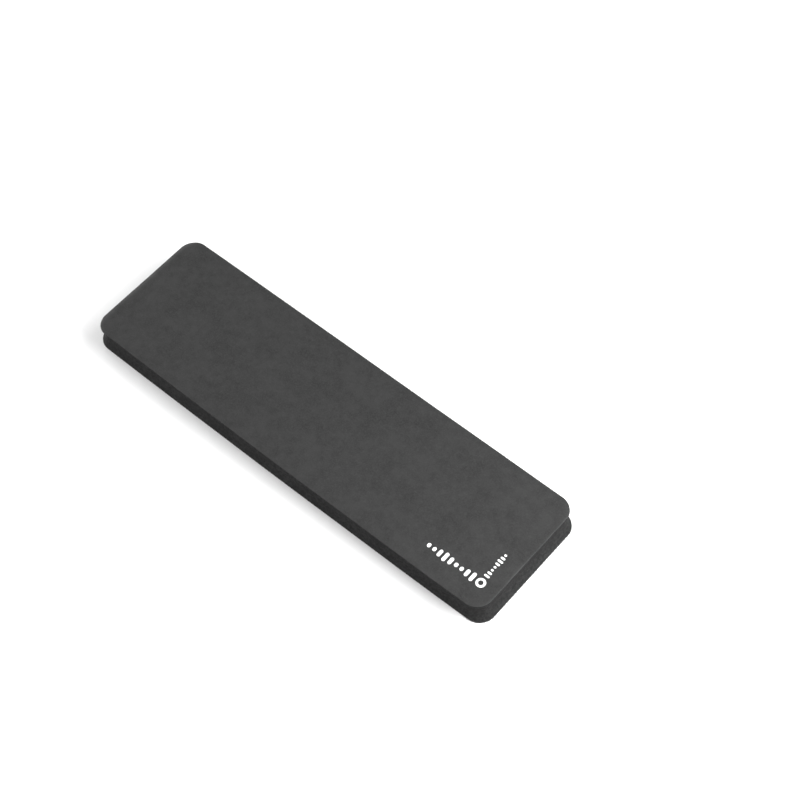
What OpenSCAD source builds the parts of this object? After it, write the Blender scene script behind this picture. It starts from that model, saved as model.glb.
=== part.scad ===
// Foam wrist rest: a long low pad laminated from a smooth skin, a thick sponge core and a textured sole.
// The pad lies on the plane z = 0. +X runs along its length, -Y is the side where the hands come from.

/* [Pad] */
// Length of the top face
length = 355.6; // [300:0.1:460]
// Depth of the pad at its ends, from the front edge to the back edge
depth = 101.6; // [70:0.1:130]
// Height of the pad without the print
thickness = 20; // [14:0.5:26]
// Radius of the four corners in plan
corner_radius = 12; // [6:0.5:25]

/* [Cut edge] */
// How much further out the sole reaches than the top face, at each end
end_splay = 1.8; // [0:0.1:3]
// How far the front wall bulges out half-way along the pad
front_bow = 1.2; // [0:0.1:3]
// Depth of the hollow that die cutting leaves half-way up the walls
waist = 2.2; // [0.5:0.1:4]

/* [Layers] */
// Thickness of the smooth skin on top
skin_t = 1; // [0.6:0.1:2]
// Thickness of the textured sole
sole_t = 1.5; // [1:0.1:3]
// Thickness of each adhesive film
film_t = 0.15; // [0.1:0.05:0.3]
// How far the adhesive films stop short of the cut edge
film_setback = 3; // [2:0.5:5]

/* [Print] */
// Thickness of the printed ink
ink_t = 0.05; // [0.03:0.01:0.1]
// Distance from the right end of the top face to the print
print_margin_x = 10; // [8:1:60]
// Distance from the front edge of the top face to the middle of the row of bars
print_margin_y = 18; // [12:1:50]
// Outer diameter of the ring between the two rows
ring_d = 7; // [4:0.5:12]
// Width of the ring's line
ring_w = 1.7; // [0.8:0.1:1.9]
// Clear distance from the ring to the first bar of each row
ring_gap = 2; // [1:0.5:6]
// Height of the tallest bar
bar_h = 7; // [4:0.5:10]
// Width of a bar
bar_w = 2.6; // [1.5:0.1:4]
// Distance from one bar to the next
bar_pitch = 4.6; // [3.5:0.1:8]
// How many large bars run along the front edge
bar_count = 9; // [3:1:14]
// Size of the small bars, next to the large ones
small_size = 0.6; // [0.5:0.05:1]
// How many small bars run back from the ring
small_count = 8; // [3:1:14]

/* [Hidden] */
$fn = 48;

// Chords in a corner's quarter turn, along the front wall, and up the hollow of the walls
corner_steps = 8;
front_steps = 12;
wall_steps = 8;

core_z0 = sole_t + film_t;
core_z1 = thickness - skin_t - film_t;
core_h = core_z1 - core_z0;
core_mid_z = (core_z0 + core_z1) / 2;
// Radius of the arc that is core_h high and waist deep
hollow_r = (core_h * core_h / 4 + waist * waist) / (2 * waist);

corner_x = length / 2 - corner_radius;
// The pad is centred over its whole depth, the bulge included
back_y = (depth + front_bow) / 2;
front_y = back_y - depth;

// How far the wall lies inside the straight cut, at height z of the core
function hollow(z) = sqrt(hollow_r * hollow_r - pow(z - core_mid_z, 2)) - hollow_r + waist;

// How far the ends reach past the top face at height z
function splay(z) = end_splay * (1 - z / thickness);

// How far the front edge is pushed out at x
function bow(x) = front_bow * max(0, 1 - pow(2 * x / length, 2));

// A point with the front bulge added
function bowed(p) = p.y < 0 ? [p.x, p.y - bow(p.x)] : p;

// A corner's quarter turn that starts at angle a, on the right (side 1) or the left (side -1)
function corner(side, centre_y, a, z, inset) = [
    for (i = [0 : corner_steps])
        let (b = a + 90 * i / corner_steps, r = corner_radius - inset)
            [side * (corner_x + splay(z)) + r * cos(b), centre_y + r * sin(b)]
];

// The pad's outline at height z, counter-clockwise, and inset from the straight cut
function outline(z, inset = 0) = [
    for (p = concat(
        [for (i = [1 : front_steps - 1])
            [(2 * i / front_steps - 1) * (corner_x + splay(z)), front_y + inset]],
        corner(1, front_y + corner_radius, -90, z, inset),
        corner(1, back_y - corner_radius, 0, z, inset),
        corner(-1, back_y - corner_radius, 90, z, inset),
        corner(-1, front_y + corner_radius, 180, z, inset)
    )) bowed(p)
];

// A closed solid through outlines of the same length, from the lowest to the highest
module loft(heights, outlines) {
    n = len(outlines[0]);
    last = len(heights) - 1;
    points = [for (j = [0 : last], p = outlines[j]) [p.x, p.y, heights[j]]];
    floor_face = [for (i = [0 : n - 1]) i];
    top_face = [for (i = [n - 1 : -1 : 0]) last * n + i];
    walls = [
        for (j = [0 : last - 1], i = [0 : n - 1])
            let (a = j * n + i, b = j * n + (i + 1) % n)
                each [[a, a + n, b + n], [a, b + n, b]]
    ];
    polyhedron(points, concat([floor_face, top_face], walls));
}

// A sheet whose edge is straight, between two heights
module sheet(z0, z1, inset = 0) {
    translate([0, 0, z0])
        linear_extrude(height = z1 - z0)
            polygon(outline((z0 + z1) / 2, inset));
}

module textured_sole() {
    color("#2b2b2d") sheet(0, sole_t);
}

module lower_bond_film() {
    color("#d8cfb4") sheet(sole_t, core_z0, film_setback);
}

module foam_core() {
    heights = [for (j = [0 : wall_steps]) core_z0 + core_h * j / wall_steps];
    color("#3a3a3c") loft(heights, [for (z = heights) outline(z, hollow(z))]);
}

module upper_bond_film() {
    color("#d8cfb4") sheet(core_z1, core_z1 + film_t, film_setback);
}

module smooth_skin() {
    color("#48484a") sheet(thickness - skin_t, thickness);
}

// One upright bar of the print, with round ends
module bar(w, h) {
    square([w, h - w], center = true);
    for (side = [-1, 1])
        translate([0, side * (h - w) / 2])
            circle(d = w);
}

// Bars that run left from the ring, and whose heights rise and fall like a wave
module wave(count, size) {
    start = ring_d / 2 + ring_gap + bar_w * size / 2;
    for (i = [0 : count - 1])
        translate([-start - i * bar_pitch * size, 0])
            bar(bar_w * size, bar_h * size * (0.7 + 0.3 * cos(i * 360 / 5)));
}

// A ring, a wave of bars along the front edge and a smaller one that runs back from the ring
module printed_mark() {
    color("#e6e6e6")
        translate([length / 2 - print_margin_x - ring_d / 2, front_y + print_margin_y, thickness])
            linear_extrude(height = ink_t) {
                difference() {
                    circle(d = ring_d);
                    circle(d = ring_d - 2 * ring_w);
                }
                wave(bar_count, 1);
                rotate(-90)
                    wave(small_count, small_size);
            }
}

textured_sole();
lower_bond_film();
foam_core();
upper_bond_film();
smooth_skin();
printed_mark();
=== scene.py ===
"""The looks of a laminated foam wrist rest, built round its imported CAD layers.

The pad is drawn first as if it had been cut straight: every point has a place in a plain block with
round corners. press() then gives each point the shape that the die and the foam's spring leave, so
the layers keep touching one another however much the edge is rolled, hollowed or splayed.
"""

import math

import bpy
import numpy as np
from mathutils import Matrix, Vector, noise
from mathutils.geometry import delaunay_2d_cdt


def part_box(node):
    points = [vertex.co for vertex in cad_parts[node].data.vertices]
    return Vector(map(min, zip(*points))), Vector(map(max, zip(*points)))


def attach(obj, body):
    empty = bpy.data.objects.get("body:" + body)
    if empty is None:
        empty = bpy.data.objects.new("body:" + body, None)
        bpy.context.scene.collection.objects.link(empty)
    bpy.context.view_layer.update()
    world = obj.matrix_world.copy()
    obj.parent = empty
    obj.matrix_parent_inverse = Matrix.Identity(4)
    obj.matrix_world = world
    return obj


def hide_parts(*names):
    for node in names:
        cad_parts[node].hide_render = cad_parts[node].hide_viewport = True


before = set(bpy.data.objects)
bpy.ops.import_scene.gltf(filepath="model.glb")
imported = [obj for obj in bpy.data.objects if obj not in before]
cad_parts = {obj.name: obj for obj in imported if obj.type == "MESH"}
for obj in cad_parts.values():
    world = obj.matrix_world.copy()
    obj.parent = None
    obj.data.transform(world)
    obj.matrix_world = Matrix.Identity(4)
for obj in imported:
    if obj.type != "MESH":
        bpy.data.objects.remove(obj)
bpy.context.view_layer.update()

MM = 0.001

# The block, from the CAD layers' boxes and, for the last three, the lengths that part.scad uses
skin_low, skin_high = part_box("smooth_skin")
sole_low, sole_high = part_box("textured_sole")
core_low, core_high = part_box("foam_core")
print_low, print_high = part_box("printed_mark")
TOP = skin_high.z
SKIN_FOOT = skin_low.z
SOLE_TOP = sole_high.z
CORNER_RADIUS = 12 * MM
FRONT_BOW = 1.2 * MM
WAIST = 2.2 * MM

# How the soft pad departs from its plain CAD solids
END_SPLAY = 2.0 * MM  # how far the foot stands out past the top at each end, 0.2 mm more than in CAD
FRONT_SPLAY = 0.65 * MM  # the same at the front, which is upright in CAD
LEAN = 0.8 * MM  # how far the whole top has crept to the left over its foot
PROUD = 0.3 * MM  # how far the soft foam stands out past its plain CAD solid
HALF_LENGTH = (sole_high.x - sole_low.x) / 2 - END_SPLAY * (1 - SOLE_TOP / 2 / TOP) + PROUD
BACK_Y = skin_high.y + PROUD
FRONT_Y = skin_low.y + FRONT_BOW - PROUD + FRONT_SPLAY
MIDDLE_Y = (FRONT_Y + BACK_Y) / 2
HALF_DEPTH = (BACK_Y - FRONT_Y) / 2

# The cut edge. The pairs are for most of the edge and for the left end, where it is rolled most.
RIM_DROP = np.array([0.20, 0.90]) * MM  # how far the die pulls the skin's edge down
RIM_WIDTH = np.array([1.6, 4.2]) * MM  # how far in from the edge that reaches
SKIN_FILLET = np.array([0.25, 0.80]) * MM
HOLLOW_POWER = 2.8  # 2 would be a plain arc, and more keeps the turn nearer the two skins
LIP = 0.4 * MM  # how far the skin stands out over the sponge under it
LIP_HEIGHT = 1.5 * MM
FOOT_LIFT = 0.1 * MM
FOOT_WIDTH = 2.0 * MM
EDGE_REACH = 6 * MM  # how fast the hollow of the wall fades towards the middle of the foam
SEAM = 0.005 * MM  # half the hairline gap between two layers
FILM_SETBACK = 3 * MM  # as in part.scad
FILM_EDGE = (0.10 * MM, 0.35 * MM)  # where the sponge's step round a film starts and ends

# What the cut and the foam leave uneven: how much, with features of what size, and the noise's seed
HOLLOW_NOISE = (0.10, 60 * MM, 1)  # a share of the hollow
WALL_WAVER = (0.12 * MM, 55 * MM, 2)
RIM_NOISE = (0.4, 40 * MM, 3)  # a share of the rim's drop
SKIN_SWELLS = ((0.07 * MM, 34 * MM, 4), (0.02 * MM, 9 * MM, 5))
WALL_PITS = ((0.10 * MM, 5 * MM, 6), (0.06 * MM, 1.6 * MM, 7))
SKIN_CALM = 12 * MM  # how far in from the edge the skin's swells reach their full height
WALL_CALM = 0.12  # the share of the wall's height, at its foot and head, where the pits fade
SEED_STEP = (7.31, 3.17, 5.23)

# The grip texture under the sole
STUD_PITCH = 3.0 * MM
STUD_HEIGHT = 0.45 * MM
STUD_RISE = (-0.5, 0.9)  # a stud rises between these values of its lattice, which runs from -2 to 2

# Mesh spacing
EDGE_STEP = 0.55 * MM
TOP_STEP = 2.0 * MM
HIDDEN_STEP = 8 * MM
SOLE_STEP = 0.66 * MM
WALL_ROWS = 36
FILLET_ROWS = 5
SOLE_EDGE_ROWS = 3
SHARP_ANGLE = math.radians(35)
GRID_MARGIN = 0.6  # how far inside the last ring a grid of points stops, as a share of its step
WIDEST_MARGIN_STEP = 4 * MM
# How far in from the edge the rings of points lie: under the skin, on it, and round the sole
UNDER_DEPTHS = MM * np.array([5, 3.6, 2.4, 1.2, 0])
TOP_DEPTHS = MM * np.array([0.2, 0.45, 0.8, 1.2, 1.7, 2.3, 3.1, 4.2, 5.6, 7.4])
SOLE_UNDER_DEPTHS = MM * np.array([1.0, 0.5])
SOLE_TOP_DEPTHS = MM * np.array([1.0, 4.0])


def smoothstep(low, high, value):
    t = np.clip((value - low) / (high - low), 0, 1)
    return t * t * (3 - 2 * t)


# ---------------------------------------------------------------- the shape of the pad


def inside_distance(x, y):
    """How far a point lies inside the straight-cut outline, and the way out from it."""
    qx = np.abs(x) - (HALF_LENGTH - CORNER_RADIUS)
    qy = np.abs(y - MIDDLE_Y) - (HALF_DEPTH - CORNER_RADIUS)
    corner = np.hypot(np.maximum(qx, 0), np.maximum(qy, 0))
    distance = CORNER_RADIUS - corner - np.minimum(np.maximum(qx, qy), 0)
    round_part = (qx > 0) & (qy > 0)
    nx = np.where(round_part, qx / np.maximum(corner, 1e-9), (qx >= qy).astype(float))
    ny = np.where(round_part, qy / np.maximum(corner, 1e-9), (qx < qy).astype(float))
    return distance, nx * np.sign(x), ny * np.sign(y - MIDDLE_Y)


def rolled(pair, nx):
    """A value that goes from the first of a pair to the second towards the left end."""
    return pair[0] + (pair[1] - pair[0]) * smoothstep(0, 1, -nx)


def hollow(z):
    """How deep the die-cut wall is drawn in at height z: a curve from the sole to the skin."""
    half = (core_high.z - core_low.z) / 2
    middle = (core_high.z + core_low.z) / 2
    reach = np.minimum(np.abs(z - middle) / half, 1)
    lip = LIP * smoothstep(0, LIP_HEIGHT, SKIN_FOOT - z) * smoothstep(SOLE_TOP, SKIN_FOOT, z)
    return WAIST * (1 - reach**HOLLOW_POWER) + lip


def field(points, amount, size, seed):
    """Smooth noise from -amount to amount over points, with features of the given size."""
    shift = Vector([seed * step for step in SEED_STEP])
    return amount * np.array([noise.noise(Vector(p) / size + shift) for p in points.tolist()])


def press(points):
    """Moves points of the straight-cut block to where the finished pad has them."""
    x, y, z = points.T.copy()
    distance, nx, ny = inside_distance(x, y)
    fade = np.exp(-np.maximum(distance, 0) / EDGE_REACH)
    flat = np.c_[x, y, 0 * z]
    uneven = 1 + field(flat, *HOLLOW_NOISE)
    waver = field(np.c_[x, y, z / 3], *WALL_WAVER)
    inward = (hollow(z) * uneven + waver) * fade
    x = x - nx * inward
    y = y - ny * inward
    height = z / TOP
    # The front bows and splays, the ends splay, and the top leans
    bulge = FRONT_BOW * np.maximum(0, 1 - (x / HALF_LENGTH) ** 2) + FRONT_SPLAY * (1 - height)
    y = y - bulge * np.clip((MIDDLE_Y - y) / HALF_DEPTH, 0, 1)
    x = x * (1 + END_SPLAY * (1 - height) / HALF_LENGTH) - LEAN * height
    # The skin's rim rolls down, and the edge of the sole lifts a little
    rim = rolled(RIM_DROP, nx) * np.clip(1 - distance / rolled(RIM_WIDTH, nx), 0, 1) ** 2
    foot = np.clip(1 - distance / FOOT_WIDTH, 0, 1) ** 2
    z = z - rim * height**2 * (1 + field(flat, *RIM_NOISE))
    z = z + FOOT_LIFT * foot * (1 - height) ** 2
    return np.c_[x, y, z]


def outline():
    """Points round the straight-cut block, counter-clockwise, and the way out at each."""
    points, ways = [], []
    straight_x, straight_y = HALF_LENGTH - CORNER_RADIUS, HALF_DEPTH - CORNER_RADIUS
    arc_steps = round(CORNER_RADIUS * math.pi / 2 / EDGE_STEP)
    for k, (sx, sy) in enumerate(((1, -1), (1, 1), (-1, 1), (-1, -1))):
        centre = np.array([sx * straight_x, MIDDLE_Y + sy * straight_y])
        for i in range(arc_steps):
            a = math.radians(90 * (k - 1 + i / arc_steps))
            way = np.array([math.cos(a), math.sin(a)])
            points.append(centre + CORNER_RADIUS * way)
            ways.append(way)
        way = np.array([math.cos(math.radians(90 * k)), math.sin(math.radians(90 * k))])
        along = np.array([-way[1], way[0]])
        run = 2 * (straight_y if k % 2 == 0 else straight_x)
        steps = round(run / EDGE_STEP)
        for i in range(steps):
            points.append(centre + CORNER_RADIUS * way + along * run * i / steps)
            ways.append(way)
    return np.array(points), np.array(ways)


RING, WAYS = outline()


def ring(depth, z):
    """The outline drawn in by depth, at height z. Either may be one value for each point."""
    return np.c_[RING - WAYS * np.reshape(depth, (-1, 1)), np.broadcast_to(z, len(RING))]


def middle_points(depth, step):
    """A grid of points over the block, further in than depth."""
    nx, ny = round(2 * HALF_LENGTH / step), round(2 * HALF_DEPTH / step)
    gx = np.linspace(-HALF_LENGTH, HALF_LENGTH, nx + 1)
    gy = np.linspace(FRONT_Y, BACK_Y, ny + 1)
    grid = np.array(np.meshgrid(gx, gy)).reshape(2, -1).T
    distance = inside_distance(*grid.T)[0]
    return grid[distance > depth + GRID_MARGIN * min(step, WIDEST_MARGIN_STEP)]


def cap(last_ring, inner, first_index, upward):
    """Triangles that close a ring over some inner points. first_index is that of the ring."""
    n = len(last_ring)
    flat = [Vector(p) for p in np.r_[last_ring[:, :2], inner[:, :2]]]
    edges = [(i, (i + 1) % n) for i in range(n)]
    corners, _, faces, *_ = delaunay_2d_cdt(flat, edges, [], 1, 1e-9)
    if len(corners) != len(flat):
        raise ValueError("the triangulation added or joined points")
    turn = 1 if upward else -1
    return [tuple(first_index + i for i in f[::turn]) for f in faces]


def layer(rings, low_inner, high_inner):
    """Points and faces of a closed layer. rings run from the underside's innermost, out, up the
    edge and in to the top's innermost. The faces come as (bottom cap, strips, top cap)."""
    n = len(RING)
    points = np.concatenate([*rings, low_inner, high_inner])
    strips = []
    for k in range(len(rings) - 1):
        a, b = k * n, (k + 1) * n
        strips.append([(a + i, a + (i + 1) % n, b + (i + 1) % n, b + i) for i in range(n)])
    low_start, high_start = len(rings) * n, len(rings) * n + len(low_inner)
    bottom = cap(rings[0], low_inner, 0, False)
    bottom = [tuple(i if i < n else i - n + low_start for i in f) for f in bottom]
    first = (len(rings) - 1) * n
    top = cap(rings[-1], high_inner, first, True)
    top = [tuple(i if i < first + n else i - first - n + high_start for i in f) for f in top]
    return points, bottom, strips, top


def new_piece(name, points, faces, materials, slots=None):
    """A smooth-shaded mesh object in metres, at the origin."""
    mesh = bpy.data.meshes.new(name)
    mesh.from_pydata(points.tolist(), [], faces)
    mesh.update()
    for material in materials:
        mesh.materials.append(material)
    if slots is not None:
        mesh.polygons.foreach_set("material_index", slots)
    mesh.shade_smooth()
    mesh.set_sharp_from_angle(angle=SHARP_ANGLE)
    piece = bpy.data.objects.new(name, mesh)
    bpy.context.scene.collection.objects.link(piece)
    return piece


def settle(piece, node):
    """Rides a piece on the pad's one body, in place of its CAD node."""
    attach(piece, "root")
    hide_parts(node)


# ---------------------------------------------------------------- materials


class Nodes:
    """A short way to write a material's node tree."""

    def __init__(self, name):
        self.material = bpy.data.materials.new(name)
        self.material.use_nodes = True
        self.tree = self.material.node_tree
        self.shader = self.tree.nodes["Principled BSDF"]
        self.place = self.tree.nodes.new("ShaderNodeTexCoord").outputs["Object"]

    def add(self, kind, inputs=None, **settings):
        """A new node. An input is another node's output or a fixed value."""
        node = self.tree.nodes.new(kind)
        for key, value in settings.items():
            setattr(node, key, value)
        for key, value in (inputs or {}).items():
            if isinstance(value, bpy.types.NodeSocket):
                self.tree.links.new(value, node.inputs[key])
            else:
                node.inputs[key].default_value = value
        return node

    def noise(self, size, detail=3.0, roughness=0.5, place=None):
        """Cloudy noise from about 0.3 to 0.7, with features of the given size."""
        inputs = {"Scale": 1 / size, "Detail": detail, "Roughness": roughness}
        inputs["Vector"] = place or self.place
        return self.add("ShaderNodeTexNoise", inputs).outputs["Fac"]

    def cells(self, size):
        """Distance to the nearest of scattered points, about size apart."""
        inputs = {"Vector": self.place, "Scale": 1 / size}
        return self.add("ShaderNodeTexVoronoi", inputs).outputs["Distance"]

    def spread(self, value, low, high, to_low=0.0, to_high=1.0):
        """value from low to high becomes to_low to to_high, and is held there."""
        inputs = {
            "Value": value, "From Min": low, "From Max": high,
            "To Min": to_low, "To Max": to_high,
        }
        return self.add("ShaderNodeMapRange", inputs).outputs["Result"]

    def math(self, operation, a, b):
        """Two values added, multiplied or the like."""
        node = self.add("ShaderNodeMath", {0: a, 1: b}, operation=operation)
        return node.outputs["Value"]

    def blend(self, factor, first, second):
        """A colour from first to second."""
        inputs = {"Factor": factor}
        node = self.add("ShaderNodeMix", inputs, data_type="RGBA")
        for socket, value in (("A_Color", first), ("B_Color", second)):
            target = next(s for s in node.inputs if s.identifier == socket)
            if isinstance(value, bpy.types.NodeSocket):
                self.tree.links.new(value, target)
            else:
                target.default_value = (*value, 1)
        return next(s for s in node.outputs if s.identifier == "Result_Color")

    def bump(self, height, depth, strength, normal=None):
        """A bumped normal, on top of another one if that is given."""
        inputs = {"Height": height, "Distance": depth, "Strength": strength}
        if normal is not None:
            inputs["Normal"] = normal
        return self.add("ShaderNodeBump", inputs).outputs["Normal"]

    def finish(self, colour, roughness, normal, **fixed):
        """Links the three drawn inputs and sets the ones that are the same all over."""
        links = {"Base Color": colour, "Roughness": roughness, "Normal": normal}
        for key, socket in links.items():
            self.tree.links.new(socket, self.shader.inputs[key])
        for key, value in fixed.items():
            self.shader.inputs[key.replace("_", " ")].default_value = value
        return self.material


def grey(level):
    """A neutral linear colour."""
    return (level, level, level)


def skin_material():
    """Moulded neoprene skin: matt charcoal, faintly clouded, with a fine leathery grain."""
    n = Nodes("neoprene_skin")
    dark, pale, fleck_tone, grain_tone = grey(0.0115), grey(0.0211), grey(0.033), grey(0.029)
    clouds = n.noise(22 * MM, 4, 0.55)
    patches = n.noise(6 * MM, 3, 0.5)
    flecks = n.noise(1.7 * MM, 2, 0.5)
    grain = n.noise(0.9 * MM, 4, 0.65)
    pores = n.cells(0.55 * MM)
    tone = n.math("ADD", n.math("MULTIPLY", clouds, 0.5), n.math("MULTIPLY", patches, 0.5))
    base = n.blend(n.spread(tone, 0.38, 0.62), dark, pale)
    light = n.blend(n.spread(flecks, 0.54, 0.70, 0.0, 0.35), base, fleck_tone)
    colour = n.blend(n.spread(grain, 0.38, 0.68, 0.0, 0.6), light, grain_tone)
    roughness = n.spread(tone, 0.38, 0.62, 0.70, 0.60)
    leather = n.bump(pores, 0.05 * MM, 0.35)
    normal = n.bump(grain, 0.10 * MM, 0.45, leather)
    gloss = {"Specular_IOR_Level": 0.35, "Sheen_Weight": 0.14, "Sheen_Roughness": 0.35}
    return n.finish(colour, roughness, normal, **gloss)


def foam_material():
    """Cut face of closed-cell sponge: darker than the skin, mottled, with fine open cells that are
    darkened with painted shade. Its tone darkens with height, as the photographed walls do: that
    is painted shade under the skin's rim, and that reading of the walls is a guess."""
    n = Nodes("cut_sponge")
    dark, pale, shade_tone, lit_tone = grey(0.0255), grey(0.0330), grey(0.007), grey(0.030)
    # A near-black used for painted shade, under the skin's rim and in the open cells
    painted_shade_tone = grey(0.005)
    clouds = n.noise(14 * MM, 3, 0.5)
    flecks = n.noise(2.0 * MM, 3, 0.6)
    grain = n.noise(0.7 * MM, 4, 0.7)
    upright = {"Vector": n.place, "Scale": (1, 1, 0.15)}
    upright = n.add("ShaderNodeMapping", upright).outputs["Vector"]
    drag = n.noise(1.4 * MM, 2, 0.5, upright)
    cells = n.cells(0.6 * MM)
    pits = n.spread(cells, 0.15, 0.55)
    base = n.blend(n.spread(clouds, 0.35, 0.65), dark, pale)
    mottled = n.blend(n.spread(flecks, 0.40, 0.60, 0.0, 0.80), base, shade_tone)
    streaked = n.blend(n.spread(drag, 0.40, 0.65, 0.0, 0.25), mottled, lit_tone)
    colour = n.blend(n.spread(grain, 0.35, 0.70, 0.0, 0.6), streaked, lit_tone)
    height = n.add("ShaderNodeSeparateXYZ", {"Vector": n.place}).outputs["Z"]
    # Painted shade: the sponge's colour darkens from 3 mm to 16 mm up, towards the skin's rim, where
    # the wall lies in shade
    painted_rim_shade = n.blend(n.spread(height, 3 * MM, 16 * MM, 0.0, 0.50), colour, painted_shade_tone)
    # Painted shade in the open cells: their middles, where the bump dips, are darkened
    pit_shaded_colour = n.blend(n.spread(pits, 0.0, 1.0, 0.45, 0.0), painted_rim_shade, painted_shade_tone)
    roughness = n.spread(grain, 0.3, 0.7, 0.80, 0.95)
    cut = n.bump(drag, 0.20 * MM, 0.4)
    normal = n.bump(pits, 0.16 * MM, 0.6, n.bump(grain, 0.14 * MM, 0.5, cut))
    return n.finish(pit_shaded_colour, roughness, normal, Specular_IOR_Level=0.12)


def sole_material():
    """Non-slip neoprene: black, a little waxy on the studs, with a fine grain."""
    n = Nodes("grip_neoprene")
    clouds = n.noise(18 * MM, 3, 0.5)
    grain = n.noise(0.5 * MM, 4, 0.65)
    base = n.blend(n.spread(clouds, 0.35, 0.65), grey(0.016), grey(0.021))
    colour = n.blend(n.spread(grain, 0.4, 0.7, 0.0, 0.5), base, grey(0.028))
    roughness = n.spread(clouds, 0.35, 0.65, 0.62, 0.78)
    normal = n.bump(grain, 0.08 * MM, 0.5)
    return n.finish(colour, roughness, normal, Specular_IOR_Level=0.45)


def ink_material():
    """Pale screen-printing ink that lets the grain of the skin through."""
    n = Nodes("print_ink")
    grain = n.noise(0.35 * MM, 3, 0.6)
    clouds = n.noise(5 * MM, 3, 0.5)
    worn = n.spread(grain, 0.62, 0.72)
    base = n.blend(n.spread(clouds, 0.35, 0.65), grey(0.74), grey(0.84))
    colour = n.blend(worn, base, grey(0.45))
    roughness = n.spread(clouds, 0.35, 0.65, 0.48, 0.60)
    normal = n.bump(grain, 0.05 * MM, 0.4)
    return n.finish(colour, roughness, normal, Specular_IOR_Level=0.4)


def adhesive_material():
    """Hot-melt film: pale amber, slightly streaked."""
    n = Nodes("hot_melt_film")
    streaks = n.noise(6 * MM, 4, 0.6)
    fine = n.noise(0.8 * MM, 3, 0.6)
    colour = n.blend(n.spread(streaks, 0.3, 0.7), (0.60, 0.52, 0.34), (0.74, 0.68, 0.52))
    roughness = n.spread(fine, 0.3, 0.7, 0.25, 0.45)
    return n.finish(colour, roughness, n.bump(fine, 0.05 * MM, 0.4))


# ---------------------------------------------------------------- the layers


def surface_wave(points):
    """How far the skin's top swells and sinks away from its edge."""
    distance = inside_distance(points[:, 0], points[:, 1])[0]
    flat = np.c_[points[:, :2], np.zeros(len(points))]
    swell = sum(field(flat, *swells) for swells in SKIN_SWELLS)
    return swell * smoothstep(0, SKIN_CALM, distance)


def make_skin(skin, foam):
    """The top sheet. Its edge is rolled down by the cut, and its cut side shows sponge."""
    foot = SKIN_FOOT + SEAM
    fillet = rolled(SKIN_FILLET, WAYS[:, 0])
    rings = [ring(depth, foot) for depth in UNDER_DEPTHS]
    rings.append(ring(0, (foot + TOP - fillet) / 2))
    for k in range(FILLET_ROWS + 1):
        a = math.radians(90 * k / FILLET_ROWS)
        depth = fillet * (1 - math.cos(a))
        rings.append(ring(depth, TOP - fillet * (1 - math.sin(a))))
    rings += [ring(fillet + depth, TOP) for depth in TOP_DEPTHS]
    low = middle_points(UNDER_DEPTHS[0], HIDDEN_STEP)
    high = middle_points(TOP_DEPTHS[-1] + SKIN_FILLET[1], TOP_STEP)
    low = np.c_[low, np.full(len(low), foot)]
    high = np.c_[high, np.full(len(high), TOP)]
    points, bottom, strips, top = layer(rings, low, high)
    on_top = points[:, 2] > TOP - 1e-6
    lift = np.where(on_top, surface_wave(points), 0)
    points = press(points)
    points[:, 2] += lift
    cut_strips = len(UNDER_DEPTHS) + 1  # the underside, then the cut side up to the fillet
    sponge = [f for strip in strips[:cut_strips] for f in strip] + bottom
    sheet = [f for strip in strips[cut_strips:] for f in strip] + top
    slots = [1] * len(sponge) + [0] * len(sheet)
    piece = new_piece("skin_sheet", points, sponge + sheet, [skin, foam], slots)
    settle(piece, "smooth_skin")


def make_core(foam):
    """The sponge. It meets the skin and the sole at its rim and the bond films further in."""
    foot, head = SOLE_TOP + SEAM, SKIN_FOOT - SEAM
    film_foot, film_head = core_low.z + SEAM, core_high.z - SEAM
    inner, outer = (FILM_SETBACK - past for past in FILM_EDGE)
    rings = [ring(inner, film_foot), ring(outer, foot), ring(outer / 2, foot)]
    rings += [ring(0, foot + (head - foot) * k / WALL_ROWS) for k in range(WALL_ROWS + 1)]
    rings += [ring(outer / 2, head), ring(outer, head), ring(inner, film_head)]
    grid = middle_points(inner, HIDDEN_STEP)
    low = np.c_[grid, np.full(len(grid), film_foot)]
    high = np.c_[grid, np.full(len(grid), film_head)]
    points, bottom, strips, top = layer(rings, low, high)
    distance, nx, ny = inside_distance(points[:, 0], points[:, 1])
    height = (points[:, 2] - foot) / (head - foot)
    wall = (distance < 1e-6) & (height > 0.01) & (height < 0.99)
    rough = np.zeros(len(points))
    calm = smoothstep(0, WALL_CALM, height[wall]) * smoothstep(0, WALL_CALM, 1 - height[wall])
    rough[wall] = calm * sum(field(points[wall], *pits) for pits in WALL_PITS)
    points = press(points)
    points[:, 0] += nx * rough
    points[:, 1] += ny * rough
    faces = [f for strip in strips for f in strip] + bottom + top
    piece = new_piece("sponge_core", points, faces, [foam])
    settle(piece, "foam_core")


def grip(x, y):
    """Height of the sole's underside: studs in a diamond lattice, their tips on the floor."""
    u, v = 2 * math.pi * x / STUD_PITCH, 2 * math.pi * y / STUD_PITCH
    stud = smoothstep(*STUD_RISE, np.cos(u) + np.cos(v))
    return STUD_HEIGHT * (1 - stud)


def make_sole(sole):
    """The grip sheet. The studs run out at the cut edge and leave it scalloped."""
    head = SOLE_TOP - SEAM
    low = middle_points(SOLE_UNDER_DEPTHS[0], SOLE_STEP)
    low = np.c_[low, grip(*low.T)]
    high = middle_points(SOLE_TOP_DEPTHS[-1], HIDDEN_STEP)
    high = np.c_[high, np.full(len(high), head)]
    rings = [ring(depth, grip(*ring(depth, 0).T[:2])) for depth in SOLE_UNDER_DEPTHS]
    foot = grip(*RING.T)
    for k in range(SOLE_EDGE_ROWS + 1):
        rings.append(ring(0, foot + (head - foot) * k / SOLE_EDGE_ROWS))
    rings += [ring(depth, head) for depth in SOLE_TOP_DEPTHS]
    points, bottom, strips, top = layer(rings, low, high)
    points = press(points)
    faces = [f for strip in strips for f in strip] + bottom + top
    piece = new_piece("grip_sole", points, faces, [sole])
    settle(piece, "textured_sole")


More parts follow.
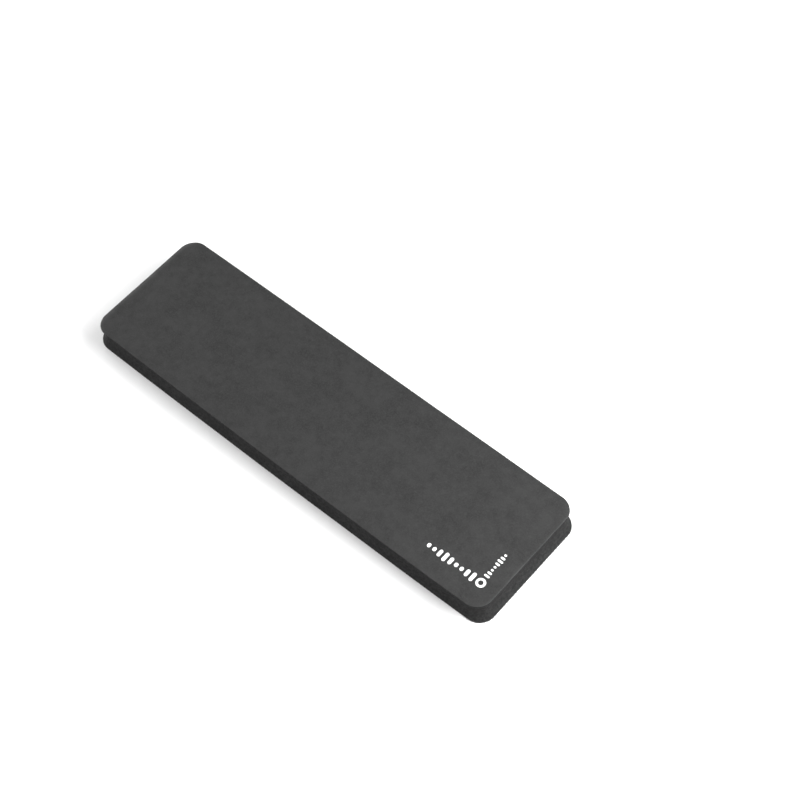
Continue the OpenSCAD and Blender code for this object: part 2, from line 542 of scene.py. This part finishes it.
# ---------------------------------------------------------------- the print

RING_DIAMETER = 7 * MM
RING_LINE = 1.7 * MM
RING_GAP = 2 * MM
RING_SIDES = 48
BAR_WIDTH = 2.6 * MM
BAR_HEIGHT = 7 * MM
BAR_PITCH = 4.6 * MM
BAR_PERIOD = 5  # bars from one tall one to the next
BAR_TURNS = 13
# The two waves of bars: how many, their size, and which way they run from the ring
WAVES = ((9, 1.0, (-1, 0)), (8, 0.6, (0, 1)))
# How far in from a shape's edge the ink reaches each height over the skin
INK_EDGE = ((0.0, -0.02 * MM), (0.0, 0.03 * MM), (0.08 * MM, 0.05 * MM), (0.5 * MM, 0.05 * MM))


def joined(loops, ring_shaped):
    """Points and faces of loops that follow one another, either capped or joined end to end."""
    n, last = len(loops[0]), len(loops) - 1
    pairs = [(k, k + 1) for k in range(last)] + ([(last, 0)] if ring_shaped else [])
    faces = []
    for a, b in pairs:
        for i in range(n):
            j = (i + 1) % n
            faces.append((a * n + i, a * n + j, b * n + j, b * n + i))
    if not ring_shaped:
        faces.append(tuple(last * n + i for i in range(n)))
        faces.append(tuple(range(n - 1, -1, -1)))
    return np.concatenate(loops), faces


def bar_shape(width, height):
    """A bar with round ends, as wide along x and as high along y as it says."""
    loops = []
    for inset, lift in INK_EDGE:
        radius = width / 2 - inset
        reach = (height - width) / 2
        turns = [(math.cos(a), math.sin(a)) for a in np.linspace(0, math.pi, BAR_TURNS)]
        upper = [(radius * c, reach + radius * s, lift) for c, s in turns]
        lower = [(-radius * c, -reach - radius * s, lift) for c, s in turns]
        loops.append(np.array(upper + lower))
    return joined(loops, False)


def ring_shape():
    """The plain ring, round its own middle."""
    outer = [(RING_DIAMETER / 2 - inset, lift) for inset, lift in INK_EDGE]
    inner = [(RING_DIAMETER / 2 - RING_LINE + inset, lift) for inset, lift in INK_EDGE]
    turns = np.linspace(0, 2 * math.pi, RING_SIDES, endpoint=False)
    loops = []
    for radius, lift in outer + inner[::-1]:
        x, y = radius * np.cos(turns), radius * np.sin(turns)
        loops.append(np.c_[x, y, np.full(RING_SIDES, lift)])
    return joined(loops, True)


def print_shapes():
    """The points and faces of every printed shape, laid out round the middle of the ring."""
    shapes = [ring_shape()]
    for count, size, (wx, wy) in WAVES:
        start = RING_DIAMETER / 2 + RING_GAP + BAR_WIDTH * size / 2
        for k in range(count):
            height = BAR_HEIGHT * size * (0.7 + 0.3 * math.cos(2 * math.pi * k / BAR_PERIOD))
            points, faces = bar_shape(BAR_WIDTH * size, height)
            along = start + k * BAR_PITCH * size + points[:, 0]
            across, lift = points[:, 1], points[:, 2]
            turned = np.c_[along * wx - across * wy, along * wy + across * wx, lift]
            shapes.append((turned, faces))
    return shapes


def make_print(ink):
    """A ring and two rows of bars that rise and fall like a wave, lying on the skin."""
    points, faces = [], []
    for shape, shape_faces in print_shapes():
        faces += [tuple(len(points) + i for i in f) for f in shape_faces]
        points += shape.tolist()
    points = np.array(points)
    points[:, 0] += print_high.x - RING_DIAMETER / 2
    points[:, 1] += print_low.y + RING_DIAMETER / 2
    lift = points[:, 2] + surface_wave(points)
    points[:, 2] = TOP
    points = press(points)
    points[:, 2] += lift
    piece = new_piece("wave_print", points, faces, [ink])
    settle(piece, "printed_mark")


# ---------------------------------------------------------------- stage, light and camera


FLOOR_REACH = 4.0
# Each softbox: where it stands, its width and height, and its power in watts
SOFTBOXES = {
    "overhead_softbox": ((0, 0, 2.2), (2.0, 2.0), 5.3),
    "back_softbox": ((0.9, 1.1, 1.2), (1.2, 1.2), 23.4),
    "front_softbox": ((-0.6, -1.4, 1.2), (1.2, 1.2), 15.8),
    "edge_softbox": ((0.55, 0.15, 0.45), (0.4, 0.4), 6.0),
    "left_panel": ((-1.2, 0.1, 0.17), (1.5, 0.3), 13),
}
ROOM_LIGHT = 0.38


def make_floor():
    """A plain, pale, matt floor."""
    mesh = bpy.data.meshes.new("floor")
    r = FLOOR_REACH
    mesh.from_pydata([(-r, -r, 0), (r, -r, 0), (r, r, 0), (-r, r, 0)], [], [(0, 1, 2, 3)])
    floor = bpy.data.objects.new("floor", mesh)
    bpy.context.scene.collection.objects.link(floor)
    n = Nodes("pale_floor")
    colour = n.blend(n.noise(0.3), grey(0.92), grey(0.94))
    roughness = n.spread(n.noise(0.05), 0, 1, 0.8, 0.9)
    n.finish(colour, roughness, n.bump(n.noise(0.01), 0.01 * MM, 0.2))
    mesh.materials.append(n.material)


def softbox(name, place, size, power):
    """A rectangular area light that faces the pad."""
    light = bpy.data.lights.new(name, "AREA")
    light.shape = "RECTANGLE"
    light.size, light.size_y = size
    light.energy = power
    lamp = bpy.data.objects.new(name, light)
    lamp.location = place
    lamp.rotation_euler = (-Vector(place)).to_track_quat("-Z", "Y").to_euler()
    bpy.context.scene.collection.objects.link(lamp)


def make_lights():
    """The softboxes, and an even white room round them."""
    for name, (place, size, power) in SOFTBOXES.items():
        softbox(name, place, size, power)
    world = bpy.data.worlds.new("studio")
    world.use_nodes = True
    room = world.node_tree.nodes["Background"]
    room.inputs["Color"].default_value = (1, 1, 1, 1)
    room.inputs["Strength"].default_value = ROOM_LIGHT
    bpy.context.scene.world = world


CAMERA_AIM = Vector((27.1, 45.3, 10.0)) * MM
CAMERA_DISTANCE = 1325.7 * MM
CAMERA_AZIMUTH = 43.96  # degrees from the front towards the right-hand end
CAMERA_ELEVATION = 57.64
CAMERA_ROLL = -3.85
CAMERA_LENS = 85.8
SENSOR_WIDTH = 36


def make_camera():
    """The camera at the photograph's viewing angle."""
    a, e = math.radians(CAMERA_AZIMUTH), math.radians(CAMERA_ELEVATION)
    back = Vector((math.sin(a) * math.cos(e), -math.cos(a) * math.cos(e), math.sin(e)))
    data = bpy.data.cameras.new("camera")
    data.lens = CAMERA_LENS
    data.sensor_width = SENSOR_WIDTH
    camera = bpy.data.objects.new("camera", data)
    level = (-back).to_track_quat("-Z", "Y").to_matrix().to_4x4()
    roll = Matrix.Rotation(math.radians(CAMERA_ROLL), 4, "Z")
    camera.matrix_world = Matrix.Translation(CAMERA_AIM + back * CAMERA_DISTANCE) @ level @ roll
    bpy.context.scene.collection.objects.link(camera)
    bpy.context.scene.camera = camera


def finish_films(film):
    """The two bond films are the CAD's own solids, with a material of their own."""
    for name in ("lower_bond_film", "upper_bond_film"):
        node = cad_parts[name]
        node.data.materials.clear()
        node.data.materials.append(film)


def main():
    make_camera()
    make_lights()
    make_floor()
    foam = foam_material()
    make_skin(skin_material(), foam)
    make_core(foam)
    make_sole(sole_material())
    make_print(ink_material())
    finish_films(adhesive_material())
    bpy.context.scene.view_settings.view_transform = "Standard"


main()
